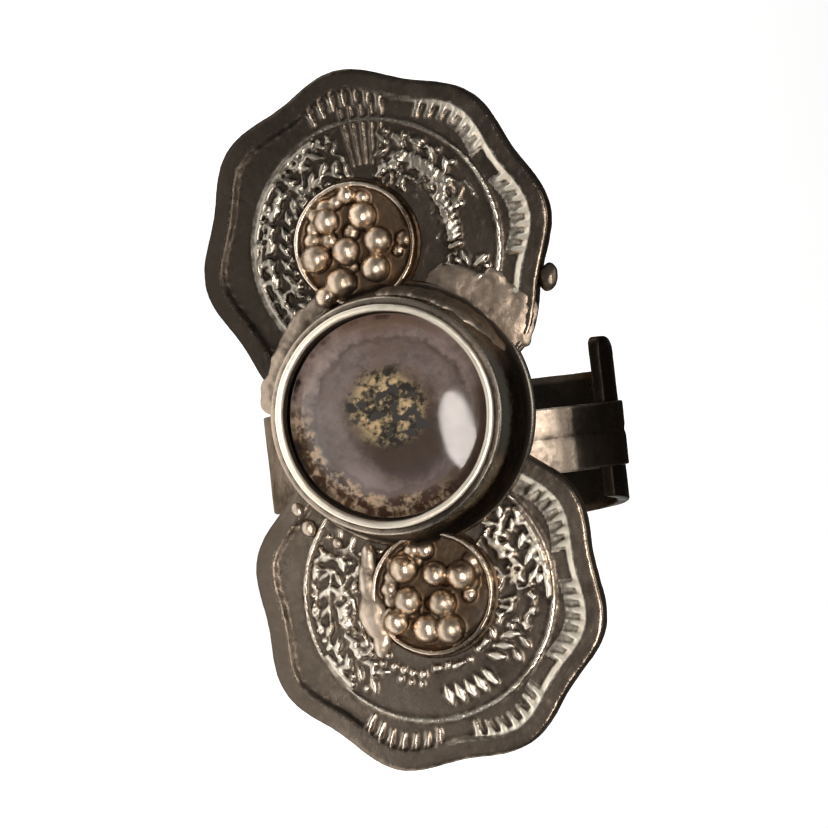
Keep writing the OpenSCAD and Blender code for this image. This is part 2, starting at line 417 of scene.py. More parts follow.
def note_wear_and_light(coin, turn, field):
    """Stores on a coin's vertices 1 for a mark worn bare or a painted highlight, and -1 for painted shade.

    The rim's inner wall gets a painted highlight on the right and painted shade on the left. The dentils
    and their band are painted brighter towards the right, and the fine line is dimmed towards the right.
    """
    shares = []
    for vertex in coin.data.vertices:
        reach, angle = polar(vertex.co)
        wall_at = edge_radius(angle, turn, RIM_WIDTH)
        # Painted light by side: highlights towards the right, painted shade towards the left.
        rubbed_and_lit_side = smooth_step(vertex.co.x, -3.0, 7.0)
        share = max(0.0, 1.3 - abs(reach - wall_at + 0.1) / 0.26) * (1.9 * rubbed_and_lit_side - 0.9)
        if reach > wall_at + 0.2:
            share = -0.5
        elif reach < wall_at - 0.1:
            mark = max(
                smooth_step(vertex.co.z, field + 0.04, field + 0.26),
                smooth_step(-vertex.co.z, -0.15, -0.08),
            )
            from_lobe = (angle - turn + 180 / LOBES) % (360 / LOBES) - 180 / LOBES
            if reach > LINE_RADIUS + 0.3:
                mark = min(1.0, 2 * mark) * (0.3 + 0.7 * rubbed_and_lit_side)
                if reach > wall_at - DENTIL[0] and abs(from_lobe) < DENTIL_STEP * DENTILS / 2:
                    mark = max(mark, 0.45 * smooth_step(vertex.co.x, 3.0, 7.0))
            elif reach > LINE_RADIUS - 0.3:
                mark *= 1 - 0.8 * rubbed_and_lit_side
            share = mark if mark > abs(share) else share
        shares.append(max(-1.0, min(1.0, share)))
    layer = coin.data.attributes.new("raised", "FLOAT", "POINT")
    layer.data.foreach_set("value", shares)


def hand_over(piece, name, material, node="ring_metal", smooth=40):
    """Lays a finished piece in the row's place, paints it and ties it to the frame."""
    select_only(piece)
    piece.name = piece.data.name = name
    piece.matrix_world = LAID @ piece.matrix_world
    bpy.ops.object.transform_apply(location=True, rotation=True, scale=True)
    bpy.ops.object.shade_smooth_by_angle(angle=math.radians(smooth))
    piece.data.materials.clear()
    piece.data.materials.append(material)
    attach(piece, "root")
    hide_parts(node)


def lathe(profile, segments=160):
    """Turns (radius, height) points into a closed body by extruding and resizing a filled circle."""
    radius, height = profile[0]
    piece = new("circle", vertices=segments, radius=radius, fill_type="NGON", location=(0, 0, height))
    with editing(piece):
        for next_radius, next_height in profile[1:]:
            raise_up(next_height - height)
            ratio = next_radius / radius
            grow((ratio, ratio, 1), (0, 0, next_height))
            radius, height = next_radius, next_height
        face_outwards()
    return piece


def maths(operation, swapped=False):
    """A method that adds a Math node with this operation."""

    def work(self, other):
        one, two = (other, self) if swapped else (self, other)
        return self.paint.add("ShaderNodeMath", {"operation": operation}, {0: one, 1: two})

    return work


class Value:
    """A number that changes over a surface. Sums and products of such numbers add Math nodes."""

    __add__, __radd__ = maths("ADD"), maths("ADD", True)
    __sub__, __rsub__ = maths("SUBTRACT"), maths("SUBTRACT", True)
    __mul__, __rmul__ = maths("MULTIPLY"), maths("MULTIPLY", True)

    def __init__(self, paint, socket):
        self.paint = paint
        self.socket = socket


class Paint:
    """A material or world, and the ways in which its nodes are added."""

    def __init__(self, name, kind="materials"):
        self.owner = getattr(bpy.data, kind).new(name)
        self.owner.use_nodes = True
        self.tree = self.owner.node_tree
        self.tree.nodes.clear()

    def add(self, kind, settings=None, inputs=None, output=0):
        """Adds a node, sets it up, feeds its sockets and returns one of its outputs."""
        node = self.tree.nodes.new(kind)
        for name, value in (settings or {}).items():
            if name == "stops":
                self.set_stops(node.color_ramp, value)
            else:
                setattr(node, name, value)
        for name, value in (inputs or {}).items():
            if isinstance(value, Value):
                self.tree.links.new(value.socket, node.inputs[name])
            else:
                node.inputs[name].default_value = value
        return Value(self, node.outputs[output]) if node.outputs else None

    def set_stops(self, ramp, stops):
        while len(ramp.elements) < len(stops):
            ramp.elements.new(1.0)
        for element, (position, colour) in zip(ramp.elements, stops):
            element.position = position
            element.color = (*colour, 1)

    def worn_place(self, centre=(0, 0, 0)):
        """The place on the piece in millimetres as worn, from a given centre."""
        where = self.add("ShaderNodeTexCoord", output="Object")
        shift = LAID @ Vector(centre)
        turn = LAID.to_euler()
        return self.add(
            "ShaderNodeMapping",
            {"vector_type": "TEXTURE"},
            {"Vector": where, "Location": shift, "Rotation": turn, "Scale": (MM, MM, MM)},
        )

    def part_of(self, vector, axis):
        return self.add("ShaderNodeSeparateXYZ", inputs={"Vector": vector}, output=axis)

    def along(self, vector, angle):
        """How far a place lies in a direction of the coins' plane."""
        way = tuple(direction(angle))
        return self.add("ShaderNodeVectorMath", {"operation": "DOT_PRODUCT"}, {0: vector, 1: way}, "Value")

    def distance(self, vector):
        """How far a place is from the Z axis."""
        flat = self.add("ShaderNodeVectorMath", {"operation": "MULTIPLY"}, {0: vector, 1: (1, 1, 0)})
        return self.add("ShaderNodeVectorMath", {"operation": "LENGTH"}, {0: flat}, "Value")

    def larger(self, one, two):
        return self.add("ShaderNodeMath", {"operation": "MAXIMUM"}, {0: one, 1: two})

    def noise(self, place, size, detail=3.0, roughness=0.55):
        """A mottle whose patches are so many millimetres wide."""
        return self.add(
            "ShaderNodeTexNoise",
            inputs={"Vector": place, "Scale": 1 / size, "Detail": detail, "Roughness": roughness},
        )

    def step(self, value, low, high, start=0.0, end=1.0):
        """A soft step: start below low, and end above high."""
        return self.add(
            "ShaderNodeMapRange",
            {"interpolation_type": "SMOOTHSTEP"},
            {"Value": value, "From Min": low, "From Max": high, "To Min": start, "To Max": end},
        )

    def blend(self, share, one, two):
        """A mix of two colours."""
        one = one if isinstance(one, Value) else (*one, 1)
        two = two if isinstance(two, Value) else (*two, 1)
        return self.add("ShaderNodeMix", {"data_type": "RGBA"}, {0: share, 6: one, 7: two}, 2)

    def bump(self, height, distance, strength):
        """Small unevenness, as deep as a distance in millimetres."""
        inputs = {"Height": height, "Distance": distance * MM, "Strength": strength}
        return self.add("ShaderNodeBump", inputs=inputs)

    def surface(self, **sockets):
        """Ends the material in a Principled shader with these sockets."""
        named = {name.replace("_", " "): value for name, value in sockets.items()}
        shader = self.add("ShaderNodeBsdfPrincipled", inputs=named)
        self.add("ShaderNodeOutputMaterial", inputs={"Surface": shader})
        return self.owner


def metal(
    name, bare, middle, dark, roughness=0.38, painted_shade=None, polished=None, low_dirt_and_shade=None,
    rub_and_light=(0, 0, 1, 0.55, 0.55),
):
    """Tarnished silver or nickel: bare on what stands proud, dark in the hollows and mottled between.

    Painted shade is given as a direction in degrees, two places along it, and a colour that comes in from
    the first to the second. polished is two heights between which the metal turns bare and rougher. Dirty
    tarnish and painted shade low down are given as two heights between which they give way. Wear and
    painted highlights are given as a direction, two places along it, and how far the proud parts are worn
    bare and painted bright at the first and at the second.
    """
    paint = Paint(name)
    here = paint.worn_place()
    depth = paint.add("ShaderNodeAttribute", {"attribute_name": "hollow"}, output="Fac")
    raised = paint.add("ShaderNodeAttribute", {"attribute_name": "raised"}, output="Fac")
    stains = paint.noise(here, 6.0, 2.0)
    blotches = paint.noise(here, 2.2, 4.0)
    grain = paint.noise(here, 0.42, 4.0, 0.6)
    pits = paint.noise(here, 0.15, 2.0)
    ragged = (grain - 0.5) * 0.06
    hollow = paint.step(depth + ragged, 0.0, 0.05)
    proud = paint.step(ragged - depth, 0.015, 0.07)
    tone = paint.step(blotches + (grain - 0.5) * 0.6 + (stains - 0.5) * 0.7, 0.25, 0.8)
    colour = paint.blend(tone, toned(middle, 1.38), toned(middle, 0.48))
    rough = roughness + tone * 0.14 + hollow * 0.15 - proud * 0.12 + (grain - 0.5) * 0.2
    colour = paint.blend(hollow * 0.75, colour, dark)
    # Dirty tarnish and painted shade low down, such as on a cup's floor between its granules.
    if low_dirt_and_shade:
        dirt_and_shade = paint.step(paint.part_of(here, 2) + (grain - 0.5) * 0.15, *low_dirt_and_shade, 0.92, 0.0)
        colour = paint.blend(dirt_and_shade, colour, dark)
    # Proud parts worn bare, and painted highlights, both stronger towards one side.
    angle, start, end, first, last = rub_and_light
    bare_and_lit_share = paint.step(
        paint.along(here, angle) + (stains - 0.5) * 5.0, start, end, first, last
    )
    # The coin's attribute: above zero, marks worn bare and painted highlights; below zero, painted shade.
    mark = paint.step(raised + (grain - 0.5) * 0.5, 0.25, 0.85)
    rubbed_and_lit = paint.larger(proud * paint.step(raised, -0.4, -0.1), mark) * bare_and_lit_share
    # Painted shade where the coin's attribute is near -1, along the rim's inner wall on the left.
    colour = paint.blend(paint.step(raised, -0.9, -0.6, 0.8, 0.0), colour, dark)
    # Painted shade: the piece darkens towards one side, along a direction.
    if painted_shade:
        angle, start, end, shade = painted_shade
        side = paint.along(here, angle) + (blotches - 0.5) * 0.3 * abs(end - start)
        ends = (start, end, 0.0, 1.0) if start < end else (end, start, 1.0, 0.0)
        colour = paint.blend(paint.step(side, *ends) * 0.95, colour, shade)
    colour = paint.blend(rubbed_and_lit, colour, bare)
    rough = rough + mark * bare_and_lit_share * 0.15
    if polished:
        shine = paint.step(paint.part_of(here, 2) + (grain - 0.5) * 0.1, *polished)
        colour = paint.blend(shine, colour, bare)
        rough = rough + shine * 0.18
    return paint.surface(
        Base_Color=colour,
        Metallic=1.0,
        Roughness=rough,
        Specular_Tint=EDGE_TINT,
        Normal=paint.bump(grain * 0.6 + pits * 0.3 + blotches * 0.5, 0.06, 0.6),
    )


def glass_finish(tint):
    """Clear pressed glass, and unseen at its foot, where the foil clings to it."""
    paint = Paint("cabochon glass")
    here = paint.worn_place(COLLET_SPOT)
    haze = paint.noise(here, 1.4, 3.0)
    return paint.surface(
        Base_Color=(*tint, 1),
        Roughness=paint.step(haze, 0.4, 0.7, 0.08, 0.13),
        Alpha=paint.step(paint.part_of(here, 2), STONE_FOOT + 0.1, STONE_FOOT + 0.3),
        Transmission_Weight=1.0,
        IOR=1.53,
        Normal=paint.bump(haze, 0.02, 0.25),
    )


def foil_finish(gold, grey, pale, brown):
    """Crumpled foil: gold and black in the middle, a grey ring, and brown mottles outside."""
    paint = Paint("collet foil")
    here = paint.worn_place(COLLET_SPOT)
    up, across = paint.part_of(here, 1), paint.part_of(here, 0)
    wander = paint.noise(here, 1.8, 3.0)
    folds = paint.noise(here, 1.0, 4.0, 0.6)
    flecks = paint.noise(here, 0.45, 5.0, 0.7)
    lustre = folds * 0.5 + flecks * 0.5
    ragged = (wander - 0.5) * 1.2 + (flecks - 0.5) * 0.5
    reach = paint.distance(here) + ragged

    # The grey ring: rusty above, brown towards the heart, with a painted sheen below and painted shade at
    # one side
    ring = paint.blend(paint.step(lustre, 0.3, 0.7), toned(grey, 0.5), grey)
    rusty = paint.step(wander, 0.45, 0.68) * paint.step(up, 0.0, 3.0)
    ring = paint.blend(rusty * 0.55, ring, brown)
    ring = paint.blend(paint.step(reach, 2.3, 3.3, 0.8, 0.0), ring, toned(brown, 0.6))
    sheen = paint.step(up + (wander - 0.5), -3.4, -2.2, 1.0, 0.0) * paint.step(reach, 3.0, 3.6)
    ring = paint.blend(sheen * 0.8, ring, toned(grey, (1.2, 1.2, 1.3)))
    # Painted shade below and to one side of the heart.
    painted_shade_reach = paint.distance(paint.worn_place(PAINTED_SHADE_SPOT)) + (folds - 0.5) * 1.2
    ring = paint.blend(paint.step(painted_shade_reach, 1.9, 3.2, 0.9, 0.0), ring, toned(brown, 0.35))

    # The heart inside it, and a thin dark line round it
    heart = paint.blend(paint.step(lustre, 0.45, 0.59), toned(gold, 0.03), gold)
    from_heart = paint.distance(paint.worn_place(HEART_SPOT)) + ragged
    colour = paint.blend(paint.step(from_heart + (folds - 0.5) * 1.6, 1.7, 2.7), heart, ring)
    line = paint.step(reach, 4.3, 4.5) * paint.step(reach, 4.6, 4.9, 1.0, 0.0)
    colour = paint.blend(line * 0.35, colour, toned(brown, 0.4))

    # The edge: pale, brown at one corner, rusty above, and mottled with gold below
    rust = toned(brown, (1.5, 1.2, 1.0))
    edge = paint.blend(paint.step(lustre, 0.3, 0.65), toned(pale, 0.55), pale)
    corner = paint.along(here, VIEW_LEAN - 50) + (wander - 0.5) * 3.0
    edge = paint.blend(paint.step(corner, 1.6, 4.2) * 0.8, edge, toned(brown, 0.8))
    top = paint.step(up + (wander - 0.5) * 2.0, 4.2, 5.6)
    edge = paint.blend(top * 0.6, edge, toned(rust, 0.7))
    bright = tuple(0.6 * (x + y) for x, y in zip(gold, pale))
    mottled = paint.blend(paint.step(lustre, 0.46, 0.58), toned(rust, 0.3), bright)
    bottom = paint.step(up + across * 0.6 + (wander - 0.5) * 3.5, -4.4, -1.8, 1.0, 0.0)
    edge = paint.blend(bottom, edge, mottled)
    colour = paint.blend(paint.step(reach, 4.6, 5.0), colour, edge)
    colour = paint.blend(paint.step(reach, 5.8, 6.2), colour, toned(brown, 0.15))
    return paint.surface(
        Base_Color=colour,
        Metallic=0.0,
        Roughness=0.55,
        Specular_IOR_Level=0.2,
        Normal=paint.bump(flecks + folds, 0.08, 0.6),
    )


def filler_finish(colour):
    """A matt finish with a faint unevenness, for the filler."""
    paint = Paint("filler")
    cloud = paint.noise(paint.worn_place(), 9.0, 2.0)
    return paint.surface(Base_Color=paint.blend(cloud, colour, toned(colour, 0.97)), Roughness=0.6)


def floor_finish(colour, near, far):
    """A pale light table that glows most under the ring's head."""
    paint = Paint("pale floor")
    here = paint.worn_place((0, 0, 20))
    reach = paint.add("ShaderNodeVectorMath", {"operation": "LENGTH"}, {0: here}, "Value")
    return paint.surface(
        Base_Color=paint.blend(paint.noise(here, 9.0, 2.0), colour, toned(colour, 0.97)),
        Roughness=0.8,
        Emission_Color=paint.blend(paint.step(reach, 60.0, 420.0), (near,) * 3, (far,) * 3),
        Emission_Strength=1.0,
    )


def card_finish(near, far):
    """A black card that glows: pale near the ring, as the floor is, and dim farther from it."""
    paint = Paint("dark card")
    reach = paint.part_of(paint.worn_place(), 2)
    return paint.surface(
        Base_Color=(0, 0, 0, 1),
        Roughness=1.0,
        Emission_Color=paint.blend(paint.step(reach, 22.0, 40.0), (near,) * 3, (far,) * 3),
        Emission_Strength=1.0,
    )


def edge_radius(angle, turn, inset=0.0):
    """The radius of a coin's edge, which dips between the lobes."""
    dip = measure("notch_depth") * (1 - math.cos(math.radians(LOBES * (angle - turn)))) / 2
    return measure("coin_width") / 2 - DENT_ROOM - inset - dip


def in_spans(angle, spans):
    """Whether an angle lies in one of some spans, which may begin below 0."""
    return any(low < value < high for low, high in spans for value in (angle, angle - 360))


def clear_of_collet(centre, spot):
    """Whether a mark at a spot from a coin's centre stays outside the collet's flange."""
    gap = (Vector((*centre, 0)) + spot - Vector((*COLLET_AT, 0))).length
    return gap > FLANGE_RADIUS + DENTIL[0] / 2


def coin_blank(turn):
    """The bare coin: a circle drawn into lobes, raised to its thickness, with a rim on both faces."""
    blank = new("circle", vertices=384, radius=1.0, fill_type="NGON")

    def to_edge(co):
        angle = math.degrees(math.atan2(co.y, co.x))
        return direction(angle) * edge_radius(angle, turn)

    reshape(blank, to_edge)
    with editing(blank, "FACE"):
        raise_up(measure("coin_thickness"))
        bpy.ops.mesh.inset(thickness=RIM_WIDTH - 0.1)
        bpy.ops.mesh.inset(thickness=0.4, depth=-RIM_HEIGHT)
        pick(blank, "faces", lambda face: len(face.verts) > 8 and face.calc_center_median().z < 0.1)
        bpy.ops.mesh.inset(thickness=RIM_WIDTH - 0.3)
        bpy.ops.mesh.inset(thickness=0.25, depth=-BACK_FIELD)
        face_outwards()
    soften_edges(blank, 0.22, 3, 60)
    return blank


def dentil_mark():
    """One tooth inside the rim: a small bar, narrower at its inner end and rounded."""
    bar = new("cube", size=1.0, scale=DENTIL)
    with editing(bar, "FACE"):
        pick(bar, "faces", lambda face: face.normal.x < -0.9)
        grow((1, 0.7, 0.5), (-DENTIL[0] / 2, 0, -0.1))
    modify(bar, "BEVEL", width=0.07, segments=2)
    return bar


def leaf_mark():
    """One leaf lying on the field, with a ridge along its middle."""
    leaf = new("circle", vertices=8, radius=0.5, fill_type="NGON")
    reshape(leaf, lambda co: Vector((co.x * LEAF[0], co.y * LEAF[1] * (1.25 - abs(co.x)), -0.15)))
    with editing(leaf, "FACE"):
        raise_up(0.22)
        raise_up(0.14)
        grow((0.75, 0.2, 1), (0, 0, 0.21))
        face_outwards()
    return leaf


def berry_mark():
    """A small dot, such as a berry of the wreath."""
    return new("ico_sphere", subdivisions=2, radius=0.24)


def rib_mark():
    """One stalk of the sheaf, a long bar with round ends."""
    rib = new("cube", size=1.0, scale=(4.0, 0.34, 0.5))
    with editing(rib, "FACE"):
        pick(rib, "faces", lambda face: abs(face.normal.x) > 0.9)
        grow((1, 0.55, 0.6), (0, 0, -0.1))
    modify(rib, "BEVEL", width=0.08, segments=2)
    return rib


def stroke_mark(long, wide, high):
    """A short stroke standing proud, with soft edges."""
    stroke = new("cube", size=1.0, scale=(long, wide, high))
    modify(stroke, "BEVEL", width=0.07, segments=2)
    return stroke


MARKS = {"rib": rib_mark, "leaf": leaf_mark, "dot": berry_mark}


def dentil_ring(coin, turn, height, free, under=False, worn=()):
    """Dentils in every lobe, against the rim, where a spot is free, and nearly gone where worn."""
    bar = dentil_mark()
    flip = Matrix.Rotation(math.pi if under else 0, 4, "X")
    for lobe in range(LOBES):
        for tooth in range(DENTILS):
            angle = turn + 360 * lobe / LOBES + (tooth - (DENTILS - 1) / 2) * DENTIL_STEP
            spot = direction(angle) * (edge_radius(angle, turn, RIM_WIDTH) - DENTIL[0] / 2 + 0.1)
            if free(spot):
                sunk = 0.15 if in_spans(angle, worn) else 0.0
                coin.append(copy_of(bar, place(spot.x, spot.y, height - sunk, angle) @ flip))
    discard(bar)


def wreath(coin, centre, bare, height, chance):
    """Pairs of leaves round the field, with a berry between one pair and the next."""
    leaf, berry = leaf_mark(), berry_mark()
    for number in range(int(360 / LEAF_STEP)):
        angle = number * LEAF_STEP
        middle = direction(angle) * WREATH_RADIUS
        if in_spans(angle, bare) or not clear_of_collet(centre, middle):
            continue
        for side in (-1, 1):
            foot = direction(angle) * (WREATH_RADIUS + 0.12 * side)
            tilt = angle + 90 - side * LEAF_TILT
            tip = foot + direction(tilt) * LEAF[0] / 2
            size = chance.uniform(0.86, 1.06)
            coin.append(copy_of(leaf, place(tip.x, tip.y, height, tilt, 0, size)))
        for side in (-1, 1):
            spot = direction(angle + 2) * (WREATH_RADIUS + 0.95 * side)
            coin.append(copy_of(berry, place(spot.x, spot.y, height - 0.05)))
    discard(leaf)
    discard(berry)


def mark_row(coin, centre, height, row):
    """A row of one mark along a circle, in some spans of it, as a coin's table gives it."""
    kind, size, radius, step, tilt, spans = row
    is_stroke = kind == "stroke"
    mark = stroke_mark(*size) if is_stroke else MARKS[kind]()
    for number in range(int(360 / step)):
        angle = number * step
        spot = direction(angle) * radius
        if in_spans(angle, spans) and clear_of_collet(centre, spot):
            turn = 0 if kind == "dot" else angle + tilt
            coin.append(copy_of(mark, place(spot.x, spot.y, height, turn, 0, 1.0 if is_stroke else size)))
    discard(mark)


def tracery(coin, centre, rows, height, chance):
    """Rows of small marks, set close and turned at random, as on a coin with a crowded field."""
    marks = (leaf_mark(), berry_mark(), stroke_mark(*STROKE), stroke_mark(*STUB))
    for radius, step, spans in rows:
        for number in range(int(360 / step)):
            angle = (number + chance.uniform(-0.25, 0.25)) * step
            spot = direction(angle) * (radius + chance.uniform(-0.15, 0.15))
            turn, size = chance.choice((0, 40, 90, 140)), chance.uniform(0.65, 0.95)
            mark = chance.choice(marks)
            if in_spans(angle, spans) and clear_of_collet(centre, spot):
                coin.append(copy_of(mark, place(spot.x, spot.y, height, angle + turn, 0, size)))
    for mark in marks:
        discard(mark)


def engrave(coin, field, veins, seed):
    """Raises worn veins, so many to a millimetre, on stretches of the field.

    A stretch is a span of angles and two radii.
    """
    pitch, stretches = veins
    for vertex in coin.data.vertices:
        reach, angle = polar(vertex.co)
        if vertex.co.z < field - 0.1:
            continue
        for low, high, inner, outer in stretches:
            if in_spans(angle, ((low, high),)) and inner < reach < outer:
                spot = Vector((vertex.co.x, vertex.co.y, seed))
                vein = noise.noise(spot * pitch)
                depth = 0.35 + 0.65 * smooth_step(noise.noise(spot * VEIN_PATCH), -0.25, 0.2)
                vertex.co.z += VEIN_HEIGHT * depth * smooth_step(-abs(vein), -0.26, -0.04)
                break
    coin.data.update()


def rosette(coin, height):
    """Sixteen leaves on a coin's back, farther out and nearer by turns."""
    leaf = leaf_mark()
    for number in range(16):
        angle = 22.5 * number
        spot = direction(angle) * (5.6 if number % 2 else 6.4)
        coin.append(copy_of(leaf, place(spot.x, spot.y, height, angle, 180, 1.7)))
    discard(leaf)


def coin_piece(name, facts, material):
    """A whole coin: blank, dentils, fine line, wreath and rows, melted into one skin and worn."""
    at, turn, seed = facts["at"], facts["turn"], facts["seed"]
    field = measure("coin_thickness") - RIM_HEIGHT
    chance = random.Random(seed)
    marks = [coin_blank(turn)]
    dentil_ring(marks, turn, field, lambda spot: clear_of_collet(at, spot), worn=facts["worn"])
    dentil_ring(marks, turn, BACK_FIELD, lambda spot: True, under=True)
    for height in (field + 0.02, BACK_FIELD - 0.02):
        line = new(
            "torus", major_radius=LINE_RADIUS, minor_radius=0.15, major_segments=160, minor_segments=8,
            location=(0, 0, height),
        )
        marks.append(line)
    wreath(marks, at, facts["bare"], field, chance)
    rosette(marks, BACK_FIELD)
    for row in facts["rows"]:
        mark_row(marks, at, field, row)
    tracery(marks, at, facts["scatter"], field, chance)
    coin = join(marks)
    coin.name = name
    fuse(coin, 0.105, 1)
    engrave(coin, field, facts["veins"], seed)
    dent(coin, 0.8, 0.06)
    note_wear_and_light(coin, turn, field)
    shift(coin, *at, COIN_Z)
    note_hollows(coin, 24)
    hand_over(coin, name, material)


def cup_piece(name, coin_at, cup_at, granules, seed, material):
    """A low cup with its granules sunk in solder."""
    chance = random.Random(seed)
    bore = CUP_RADIUS - CUP_WALL
    wall = lathe(
        [
            (CUP_RADIUS + 0.25, -0.25), (CUP_RADIUS + 0.2, 0.12), (CUP_RADIUS, 0.3),
            (CUP_RADIUS - 0.04, CUP_HEIGHT - 0.1), (CUP_RADIUS - 0.14, CUP_HEIGHT),
            (bore + 0.1, CUP_HEIGHT - 0.04), (bore, 0.5), (bore - 0.3, 0.32), (0.5, 0.26),
        ],
        72,
    )
    grain = new("ico_sphere", subdivisions=3, radius=GRANULE)
    parts = [wall]
    for x, y in granules:
        height = 0.25 + 0.6 * GRANULE + chance.uniform(-0.1, 0.16)
        size = chance.uniform(0.88, 1.08)
        parts.append(copy_of(grain, place(x, y, height, chance.uniform(0, 360), 0, size)))

    # Small grains sunk in the solder, and a heap of them along one side
    for _ in range(12):
        spot = direction(chance.uniform(0, 360)) * chance.uniform(0.6, 3.2)
        parts.append(copy_of(grain, place(spot.x, spot.y, 0.15, 0, 0, chance.uniform(0.5, 0.75))))
    for number in range(7):
        spot = direction(95 + 15 * number) * (3.1 + chance.uniform(-0.35, 0.25))
        parts.append(copy_of(grain, place(spot.x, spot.y, 0.45, 0, 0, chance.uniform(0.5, 0.7))))
    if name == "upper_cup":
        parts.append(copy_of(grain, place(*STRAY_GRANULE, 0, 0, 0.8)))
    discard(grain)
    cup = join(parts)
    cup.name = name
    fuse(cup, 0.085, 2)
    dent(cup, 0.9, 0.1)
    middle = Vector((coin_at[0] + cup_at[0], coin_at[1] + cup_at[1], FIELD_Z))

    def beside_collet(co):
        away = co + middle - Vector((*COLLET_AT, 0))
        push = max(1.0, CUP_END / max(math.hypot(away.x, away.y), 1e-6))
        return Vector((COLLET_AT[0] + away.x * push, COLLET_AT[1] + away.y * push, away.z))

    reshape(cup, beside_collet)
    note_hollows(cup, 24)
    hand_over(cup, name, material)


def sheet_edges(angle, radius):
    """The sheet's low and high edge at an angle counted from the face over the left side."""
    height = radius * math.cos(math.radians(angle))
    back_z = -BACK_SHARE * radius
    if height < back_z:
        return BACK_EDGES
    if angle < 180:
        share = min(1.0, max(0.0, height / back_z))
        return tuple(side + (back - side) * share for side, back in zip(SIDE_EDGES, BACK_EDGES))
    end_z = radius * math.cos(math.radians(LAP_ANGLE))
    share = (height - end_z) / (back_z - end_z)
    low = END_EDGES[0] + (BACK_EDGES[0] - END_EDGES[0]) * share
    drop = end_z - height
    if drop < EAR_CORNER:
        ear = EAR_HEIGHT - EAR_CORNER + math.sqrt(max(0.0, EAR_CORNER**2 - (EAR_CORNER - drop) ** 2))
    elif drop < EAR_FLAT:
        ear = EAR_HEIGHT
    elif drop < EAR_FLAT + EAR_FALL:
        ear = EAR_HEIGHT * math.sqrt(1 - ((drop - EAR_FLAT) / EAR_FALL) ** 2)
    else:
        ear = 0.0
    return low, END_EDGES[1] + ear


def bent_bar(start, end, steps, columns, rule):
    """A bar of square section spun round the finger, then drawn to shape by a rule.

    The rule gets the angle, the share of the width from 0 to 1, and whether the point is outside.
    """
    bar = new("plane", size=1.0)
    with editing(bar, "EDGE"):
        pick(bar, "edges", lambda edge: abs(edge.verts[0].co.x - edge.verts[1].co.x) < 0.1)
        bpy.ops.mesh.subdivide(number_cuts=columns)
    reshape(bar, lambda co: Vector((0, co.y, BAR_RADIUS + co.x)))
    with editing(bar, "FACE"):
        bpy.ops.mesh.spin(
            steps=steps, angle=math.radians(end - start), center=(0, 0, 0), axis=(0, 1, 0)
        )
        face_outwards()

    def drawn(co):
        turned = math.degrees(math.atan2(-co.x, co.z))
        turned = turned % 360 if end > start else -(-turned % 360)
        share = turned / (end - start) if abs(turned) < 359 else 0.0
        outside = math.hypot(co.x, co.z) > BAR_RADIUS
        return rule(start + share * (end - start), co.y + 0.5, outside)

    reshape(bar, drawn)
    return bar


def round_finger(angle, across, radius):
    """A point of the band, at an angle counted from the face over the left side."""
    turn = math.radians(angle)
    return Vector((-radius * math.sin(turn), across, radius * math.cos(turn)))


def band_piece(bar, name, dent_size, dent_strength, material):
    """Rounds and dents a bar of the band."""
    bar.name = name
    soften_edges(bar, 0.14, 2, 50)
    dent(bar, dent_size, dent_strength)
    note_hollows(bar, 10)
    hand_over(bar, name, material)


def band_sheet(material):
    """The wide sheet, from under the head round the back to its lapped end."""
    inner = measure("bore_radius")
    outer = inner + measure("sheet_thickness") - DENT_ROOM

    def rule(angle, share, outside):
        low, high = sheet_edges(angle, outer)
        return round_finger(angle, low + (high - low) * share, outer if outside else inner)

    band_piece(bent_bar(0, 360 - LAP_ANGLE, 420, 15, rule), "band_sheet", 2.4, 0.09, material)


def band_strip(material):
    """The narrow strip from the head, which steps up and laps over the sheet's end."""
    inner = measure("bore_radius") + 0.04
    sheet_outer = measure("bore_radius") + measure("sheet_thickness")
    width = measure("strip_width")

    def rule(angle, share, outside):
        lap = smooth_step(-angle, 66, 76)
        low = inner + (sheet_outer - 0.02 - inner) * lap
        groove = 0.08 * math.exp(-(((share - 0.55) / 0.05) ** 2))
        fold = 0.12 * math.exp(-(((angle + 56) / 3) ** 2))
        high = STRIP_OUTER - groove - fold
        return round_finger(angle, width * (share - 0.5), high if outside else low)

    strip = bent_bar(*STRIP_ANGLES, 150, 23, rule)
    with editing(strip):
        bpy.ops.mesh.normals_make_consistent(inside=False)
    band_piece(strip, "band_strip", 1.8, 0.06, material)


